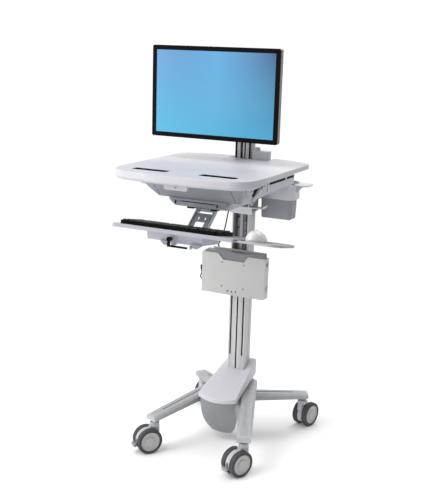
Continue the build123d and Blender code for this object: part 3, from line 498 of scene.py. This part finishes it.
def tyre_piece(corner):
    """Twin soft tyres with rounded shoulders and two fine grooves round the tread."""
    half, edge = TYRE_HALF, TYRE_EDGE
    bm = bmesh.new()
    for middle, direction in wheel_places(corner):
        outer = [(-half, HUB_R), (-half, WHEEL_R - edge - 0.004),
                 (-half + 0.0006, WHEEL_R - edge - 0.003)]
        outer += arc((-half + edge, WHEEL_R - edge), edge, 170, 100, 5)
        outer += [(-0.0035, WHEEL_R - 0.0001), (-0.003, WHEEL_R - 0.0008),
                  (-0.0022, WHEEL_R - 0.0008), (-0.0017, WHEEL_R)]
        outer += [(-a, r) for a, r in reversed(outer)]
        ring_of(bm, outer, frame_along(direction, middle), TYRE_STEPS)
    piece = object_from(bm, corner + "_tyres_detailed", "tyre")
    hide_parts(corner + "_caster_tyres")
    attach(piece, corner + "_wheels")


def hub_piece(corner):
    """Dished hub with a raised rim and a stepped cap on its outer face."""
    bm = bmesh.new()
    for middle, direction in wheel_places(corner):
        place = frame_along(direction, middle)
        r = HUB_R
        profile = [(-0.010, 0.006), (-0.010, r), (0.0095, r), (0.0102, r - 0.0012),
                   (0.0102, r - 0.003), (0.0085, r - 0.0045), (0.0072, r - 0.009), (0.0066, 0.021),
                   (0.0072, 0.0188), (0.0105, 0.0176), (0.0116, 0.0160), (0.0119, 0.011),
                   (0.0119, 0.0062), (0.0108, 0.0052), (0.0108, 0.0)]
        ring_of(bm, profile, place, HUB_STEPS, close=False)
    piece = object_from(bm, corner + "_hubs_detailed", "wheel_hub")
    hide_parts(corner + "_caster_hubs")
    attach(piece, corner + "_wheels")


def make_casters():
    for corner in ("front_left", "front_right", "rear_left", "rear_right"):
        tyre_piece(corner)
        hub_piece(corner)


# ---------------------------------------------------------------- keyboard and mouse
TRAY_TILT = radians(-11.0)
TRAY_FRONT = (0, -0.590, 0.943)             # the tray's front top edge, from the column's middle


def tray_frame():
    """Matrix of the tilted tray: origin on the front top edge at the cart's middle."""
    return Matrix.Translation(AXIS + Vector(TRAY_FRONT)) @ Matrix.Rotation(TRAY_TILT, 4, "X")


KEY_PITCH_X, KEY_PITCH_Y = 0.0194, 0.0216
KEYS_LEFT, KEYS_FRONT = -0.206, 0.0235      # the block's front left corner on the tray
KEY_GAP_X, KEY_GAP_Y = 0.0013, 0.0026
KEY_LOW, KEY_TALL, KEY_INSET = 0.0131, 0.0041, 0.0018
ROW_UNITS, GAP_UNITS = 15.0, 0.55           # a row's width, and the width of a 0 in ROWS
NAVIGATION_START = 15.4                     # where the three columns on the right start, in keys


def key_block(bm, place, x, y, width, depth):
    """A low tapered cap in the tray's frame."""
    inset, rear = KEY_INSET, KEY_INSET * 0.6
    low = [(x, y), (x + width, y), (x + width, y + depth), (x, y + depth)]
    high = [(x + inset, y + inset), (x + width - inset, y + inset),
            (x + width - inset, y + depth - rear), (x + inset, y + depth - rear)]
    a = [bm.verts.new(place @ Vector((px, py, KEY_LOW))) for px, py in low]
    b = [bm.verts.new(place @ Vector((px, py, KEY_LOW + KEY_TALL))) for px, py in high]
    bm.faces.new(b)
    bm.faces.new(list(reversed(a)))
    for i in range(4):
        j = (i + 1) % 4
        bm.faces.new((a[i], a[j], b[j], b[i]))


ROWS = [    # key widths from the front row to the back one; a 0 is a gap
    [1.25, 1.25, 1.25, 6.25, 1.25, 1.25, 1.25, 1.25],
    [2.25] + [1] * 10 + [2.75],
    [1.75] + [1] * 11 + [2.25],
    [1.5] + [1] * 12 + [1.5],
    [1] * 13 + [2],
    [1, 0, 1, 1, 1, 1, 0, 1, 1, 1, 1, 0, 1, 1, 1],
]
NAVIGATION = [(0, 1, 2), (1,), (), (0, 1, 2), (0, 1, 2), (0, 1, 2)]


def make_keycaps():
    """Six staggered rows of low tapered caps with a navigation block on the right."""
    place = tray_frame()
    depth = KEY_PITCH_Y - KEY_GAP_Y
    bm = bmesh.new()
    for row, widths in enumerate(ROWS):
        y = KEYS_FRONT + row * KEY_PITCH_Y
        x = KEYS_LEFT
        scale = ROW_UNITS / (sum(widths) + GAP_UNITS * widths.count(0))
        for width in widths:
            step = (width or GAP_UNITS) * KEY_PITCH_X * scale
            if width:
                key_block(bm, place, x, y, step - KEY_GAP_X, depth)
            x += step
        for column in NAVIGATION[row]:
            x = KEYS_LEFT + (NAVIGATION_START + column) * KEY_PITCH_X
            key_block(bm, place, x, y, KEY_PITCH_X - KEY_GAP_X, depth)
    piece = object_from(bm, "keycaps_detailed", "keycap_plastic", bevel=0.0008)
    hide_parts("keycaps")
    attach(piece, "keyboard_tray")


MOUSE_CENTRE = (0.276, 0.084, -0.0056)      # in the tray's frame
MOUSE_LENGTH, MOUSE_WIDTH, MOUSE_HEIGHT = 0.057, 0.033, 0.038    # half, half and whole
MOUSE_ROWS, MOUSE_COLUMNS = 28, 40
GROOVE_HALF, GROOVE_DEPTH = 0.0012, 0.0010


def mouse_point(lift, turn):
    """A point of the mouse's shell: lift runs from 0 at the foot to 1 at the top."""
    shrink = (1 - lift ** 2.2) ** 0.5 if lift < 1 else 0.0
    along, side = sin(turn), cos(turn)
    waist = 1 - 0.10 * (1 - abs(along)) ** 2 * (1 - lift)
    tuck = 0.93 + 0.07 * min(1.0, lift * 6)
    x = MOUSE_WIDTH * side * shrink * waist * tuck
    y = MOUSE_LENGTH * along * (shrink ** 0.92) * tuck
    z = MOUSE_HEIGHT * lift * (1.0 - 0.10 * along)
    if lift > 0.25 and y < -0.006 and abs(x) < GROOVE_HALF:
        z -= GROOVE_DEPTH
    return Vector((x, y, z))


def make_mouse():
    """Domed mouse with a waist, two buttons split by a groove, and a wheel."""
    place = tray_frame()
    centre = Vector(MOUSE_CENTRE)
    bm = bmesh.new()
    verts = []
    for i in range(MOUSE_ROWS + 1):
        spots = [mouse_point(i / MOUSE_ROWS, 2 * pi * j / MOUSE_COLUMNS)
                 for j in range(MOUSE_COLUMNS)]
        verts.append([bm.verts.new(place @ (centre + spot)) for spot in spots])
    for i in range(MOUSE_ROWS):
        for j in range(MOUSE_COLUMNS):
            k = (j + 1) % MOUSE_COLUMNS
            bm.faces.new((verts[i][j], verts[i][k], verts[i + 1][k], verts[i + 1][j]))
    bm.faces.new(list(reversed(verts[0])))
    bmesh.ops.remove_doubles(bm, verts=bm.verts, dist=0.00005)
    piece = object_from(bm, "mouse_detailed", "mouse_plastic")
    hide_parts("mouse")
    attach(piece, "mouse_shelf")
    bm = bmesh.new()
    wheel = place @ Matrix.Translation(centre + Vector((0, -0.030, 0.0285)))
    profile = [(-0.003, 0.0), (-0.003, 0.0062), (-0.0022, 0.007), (0.0022, 0.007), (0.003, 0.0062),
               (0.003, 0.0)]
    ring_of(bm, profile, wheel, 32, close=False)
    wheel_piece = object_from(bm, "mouse_wheel", "black_plastic")
    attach(wheel_piece, "mouse_shelf")


# ---------------------------------------------------------------- cables
# Both routes run from the exit to the far end, in metres from the column's middle.
DATA_ROUTE = [(-0.008, -0.112, 0.9835), (-0.012, -0.111, 0.948), (-0.022, -0.106, 0.906),
              (-0.029, -0.108, 0.862), (-0.042, -0.106, 0.822), (-0.060, -0.096, 0.792),
              (-0.074, -0.072, 0.780), (-0.078, -0.052, 0.772)]
POWER_ROUTE = [(-0.144, -0.066, 0.6625), (-0.148, -0.066, 0.652), (-0.154, -0.062, 0.640),
               (-0.150, -0.052, 0.629), (-0.138, -0.046, 0.626)]
CABLE_D = 0.005


def cable_curve(name, route):
    """A round cable along a route, as a curve object."""
    curve = bpy.data.curves.new(name, "CURVE")
    curve.dimensions = "3D"
    spline = curve.splines.new("NURBS")
    spline.points.add(len(route) - 1)
    for point, place in zip(spline.points, route):
        point.co = (*(AXIS + Vector(place)), 1.0)
    spline.order_u = 3
    spline.use_endpoint_u = True
    curve.resolution_u = 14
    curve.bevel_depth = CABLE_D / 2
    curve.bevel_resolution = 4
    curve.use_fill_caps = True
    piece = bpy.data.objects.new(name, curve)
    bpy.context.scene.collection.objects.link(piece)
    return piece


def curve_line(curve_piece):
    """The points that a curve's own line follows, with no thickness."""
    bevel = curve_piece.data.bevel_depth
    curve_piece.data.bevel_depth = 0.0
    line = bpy.data.meshes.new_from_object(curve_piece)
    curve_piece.data.bevel_depth = bevel
    points = [vertex.co.copy() for vertex in line.vertices]
    bpy.data.meshes.remove(line)
    return points


def make_power_cable():
    power = cable_curve("power_cable_soft", POWER_ROUTE)
    power.data.materials.append(MATERIALS["cable"])
    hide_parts("power_cable")
    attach(power, "base")


def make_data_cable():
    """A mesh rather than a curve, baked in place and riding on no body."""
    guide = cable_curve("data_cable_guide", DATA_ROUTE)
    line = curve_line(guide)
    mesh = bpy.data.meshes.new_from_object(guide)
    bpy.data.objects.remove(guide)
    data = bpy.data.objects.new("data_cable_soft", mesh)
    bpy.context.scene.collection.objects.link(data)
    mesh.materials.clear()
    mesh.materials.append(MATERIALS["cable"])
    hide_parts("data_cable")
    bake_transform(data)


# ---------------------------------------------------------------- inserts, seams and screws
# Everything below is given in millimetres from the column's middle.
DISPLAY_MIDDLE = (-40.0, 1375.0, -170.0)    # x, z and the rear face's y


BOX_FACES = ((0, 1, 3, 2), (4, 6, 7, 5), (0, 4, 5, 1), (2, 3, 7, 6), (0, 2, 6, 4), (1, 5, 7, 3))


def add_box(bm, x0, x1, y0, y1, z0, z1, place=None):
    """A box between two x, two y and two z values."""
    corners = [(x, y, z) for x in (x0, x1) for y in (y0, y1) for z in (z0, z1)]
    move = place or Matrix.Translation(AXIS)
    v = [bm.verts.new(move @ (Vector(corner) / 1000)) for corner in corners]
    for face in BOX_FACES:
        bm.faces.new([v[i] for i in face])


def boxes(name, material, body, rows, bevel=0.0, place=None):
    """One piece made of boxes, riding on a body."""
    bm = bmesh.new()
    for row in rows:
        add_box(bm, *row, place=place)
    piece = object_from(bm, name, material, bevel=bevel)
    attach(piece, body)


def screws(name, material, body, places, direction, radius):
    """Low domed screw heads with a round socket."""
    bm = bmesh.new()
    r = radius / 1000
    facing = Vector(direction).to_track_quat("X", "Z").to_matrix().to_4x4()
    profile = [(-0.0006, 0.0), (-0.0006, r), (0.0006, r), (0.0013, r * 0.85), (0.0017, r * 0.55),
               (0.0017, r * 0.42), (0.0006, r * 0.40), (0.0006, 0.0)]
    for spot in places:
        at = Matrix.Translation(AXIS + Vector(spot) / 1000)
        ring_of(bm, profile, at @ facing, 24, close=False)
    piece = object_from(bm, name, material)
    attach(piece, body)


def on_both_sides(near, far, *rest):
    """A box's row on the left, then its mirror image on the right."""
    return [(-far, -near, *rest), (near, far, *rest)]


def column_details():
    """Black boxes in the column's slots as painted shade of its hollow inside, black inserts in the post's
    grooves, and the post's cap.
    """
    # black boxes in the column's slots: painted shade of the dark hollow inside
    slots = [(x - 2.9, x + 2.9, -29.2, -24.6, low, 744) for x, low in ((-26, 326), (0, 126), (26, 326))]
    boxes("column_slot_painted_shade", "black_plastic", "base", slots)
    strips = on_both_sides(24.3, 31.7, -28.9, -28.02, 1018, 1484)
    strips += on_both_sides(3.7, 10.8, -20.9, -20.05, 1018, 1484)
    boxes("post_groove_inserts", "black_plastic", "head", strips)
    cap = (-33.5, 33.5, -28.5, 8.5, 1485.1, 1487.6)
    boxes("post_top_cap", "black_plastic", "head", [cap], 0.001)


def slanted_bar(name, material, body, x0, x1, start, end, width, bevel=0.0):
    """A flat bar between two (y, z) points."""
    y, z = (start[0] + end[0]) / 2, (start[1] + end[1]) / 2
    run = Vector((end[0] - start[0], end[1] - start[1]))
    turn = Matrix.Rotation(atan2(run.y, run.x), 4, "X")
    place = Matrix.Translation(AXIS + Vector((0, y, z)) / 1000) @ turn
    half = run.length / 2
    boxes(name, material, body, [(x0, x1, -half, half, -width / 2, width / 2)], bevel, place)


def head_details():
    """Black boxes as painted shade in the side panels' slots, in the gap by the lever and in the lower case's
    seam; the lever and screws beside the cases.
    """
    # black boxes in the side panels' slots: painted shade of the openings
    rows = [(x0, x1, y0, y1, 1069.9, 1078.1) for x0, x1 in ((-206.6, -203.05), (203.05, 206.6))
            for y0, y1 in ((-249, -99), (-85, -15))]
    boxes("side_panel_slot_painted_shade", "black_plastic", "head", rows, 0.001)
    # a black bar: painted shade in the gap beside the side lever
    slanted_bar("latch_gap_painted_shade", "black_plastic", "head", 203.1, 206.0, (-330, 1083), (-392, 1052),
                15, 0.001)
    slanted_bar("side_lever", "light_plastic", "head", 204.0, 210.5, (-322, 1063), (-410, 1028),
                19, 0.003)
    right = [(212.2, -306, 1074), (212.2, -420, 1074), (210.6, -400, 1032)]
    screws("right_boss_screws", "steel", "head", right, (1, 0, 0), 3.6)
    left = [(-212.2, -306, 1074), (-212.2, -420, 1074)]
    screws("left_boss_screws", "steel", "head", left, (-1, 0, 0), 3.6)
    # a black strip: painted shade of the gap at the lower case's seam
    seam = (-69.6, 69.6, -398.0, -391.0, 1005.4, 1008.6)
    boxes("lower_case_seam_painted_shade", "black_plastic", "head", [seam])
    latches = [(x - 1.0, x + 1.0, -402.5, -395, 995, 1010) for x in (-89.5, 75.5)]
    boxes("lower_case_latches", "black_plastic", "head", latches, 0.0008)


def display_details():
    """Black sheets as painted shade in the vent slits, and plate screws, on the display's back."""
    x, z, back = DISPLAY_MIDDLE
    # thin black sheets flush on the back: painted shade of the vent openings
    middles = [x + 6.5 * step for step in range(-17, 18)]
    slits = [(mid - 1.1, mid + 1.1, back - 0.3, back + 0.35, z + 66, z + 84) for mid in middles]
    boxes("display_vent_painted_shade", "black_plastic", "display", slits)
    corners = [(x + i * 50, back + 4.2, z + k * 50) for i in (-1, 1) for k in (-1, 1)]
    screws("display_plate_screws", "steel", "display", corners, (0, 1, 0), 4.4)


def holder_details():
    """Dark screws in the holder's front holes, and sockets seen through its side slots."""
    corners = [(x, -84.9, z) for x, z in ((-47, 718), (46, 717), (-47, 623), (46, 622))]
    screws("holder_screws", "black_plastic", "base", corners, (0, -1, 0), 2.4)
    low = [(x, -84.9, z) for x, z in ((-20, 606), (-3, 604), (14, 606))]
    screws("holder_low_screws", "black_plastic", "base", low, (0, -1, 0), 3.0)
    sockets = [(131.6, 134.2, -69.6, -63.4, 621, 644), (131.6, 134.2, -71.4, -60.6, 720, 734)]
    boxes("holder_sockets", "black_plastic", "base", sockets, 0.0006)


def tray_details():
    """Wedge-shaped stops beside the tilt handle, under the tray."""
    place = tray_frame()
    bm = bmesh.new()
    for x0, x1, tip in ((-54, -20, -34), (64, 112, 82)):
        outline = [(x0, -38), (x1, -38), (tip + 6, -53), (tip - 2, -53)]
        front = [bm.verts.new(place @ (Vector((x, 26, z)) / 1000)) for x, z in outline]
        rear = [bm.verts.new(place @ (Vector((x, 34, z)) / 1000)) for x, z in outline]
        bm.faces.new(front)
        bm.faces.new(list(reversed(rear)))
        for i in range(4):
            j = (i + 1) % 4
            bm.faces.new((front[i], rear[i], rear[j], front[j]))
    piece = object_from(bm, "tray_wedges", "cast_frame", bevel=0.0012)
    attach(piece, "keyboard_tray")


dress_nodes()
make_camera()
make_stage()
make_casters()
make_keycaps()
make_mouse()
make_power_cable()
make_data_cable()
column_details()
head_details()
display_details()
holder_details()
tray_details()
